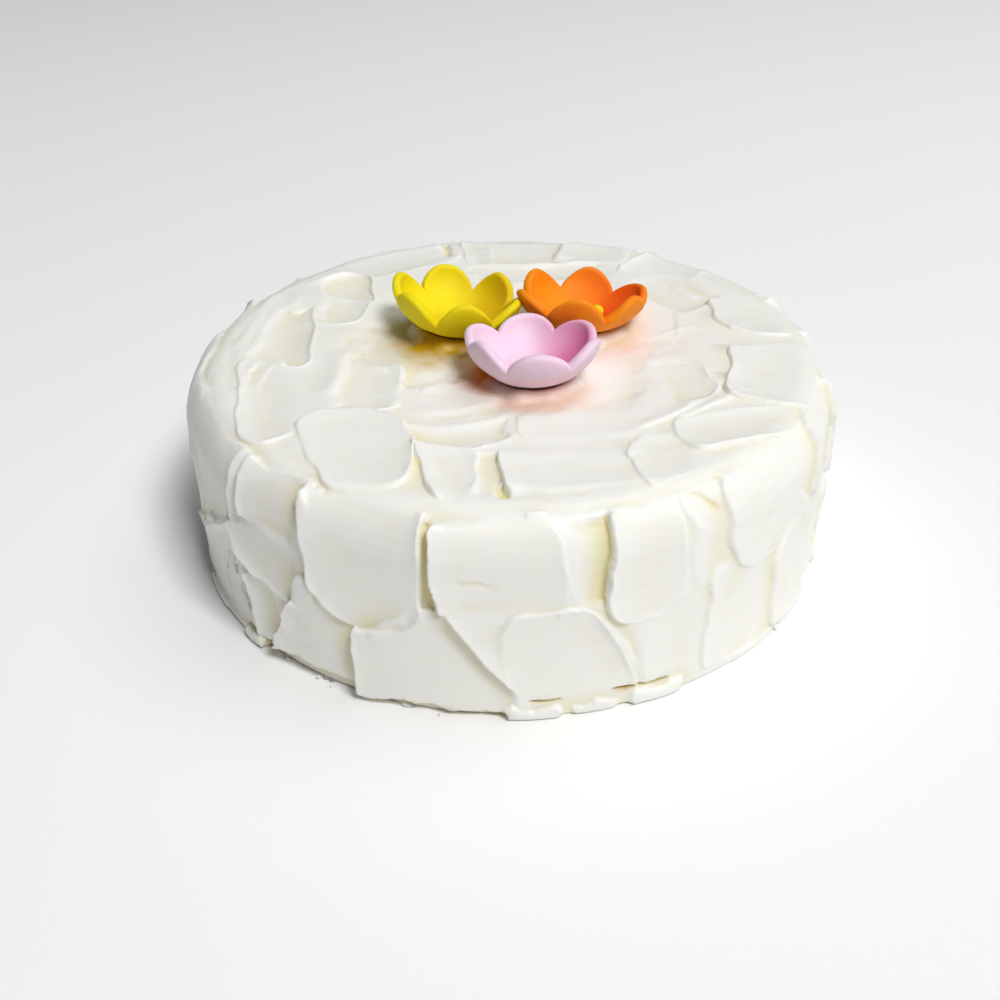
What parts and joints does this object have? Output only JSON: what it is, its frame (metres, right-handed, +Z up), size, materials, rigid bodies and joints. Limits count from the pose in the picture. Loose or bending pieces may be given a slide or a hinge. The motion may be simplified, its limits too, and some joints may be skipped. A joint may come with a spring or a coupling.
{
  "type": "vanilla layer cake",
  "caption": "Low round layer cake, iced all over in cream with broad palette-knife marks, with cupped sugar blossoms in yellow, orange and pink on top, for eating.",
  "frame": {"origin": "middle of the flat underside of the cake", "axes": "+Z up from the surface it stands on, -Y towards the front that the picture shows, +X to the right of it"},
  "size_m": [0.1809, 0.1815, 0.0713],
  "materials": {
    "icing": "satin",
    "yellow_sugar": "matte",
    "orange_sugar": "matte",
    "yellow_bead": "matte",
    "pink_sugar": "matte"
  },
  "bodies": {
    "root": {"frosted_cake": "icing", "yellow_blossom": "yellow_sugar", "orange_blossom": "orange_sugar", "orange_blossom_bead": "yellow_bead", "pink_blossom": "pink_sugar"}
  },
  "joints": []
}
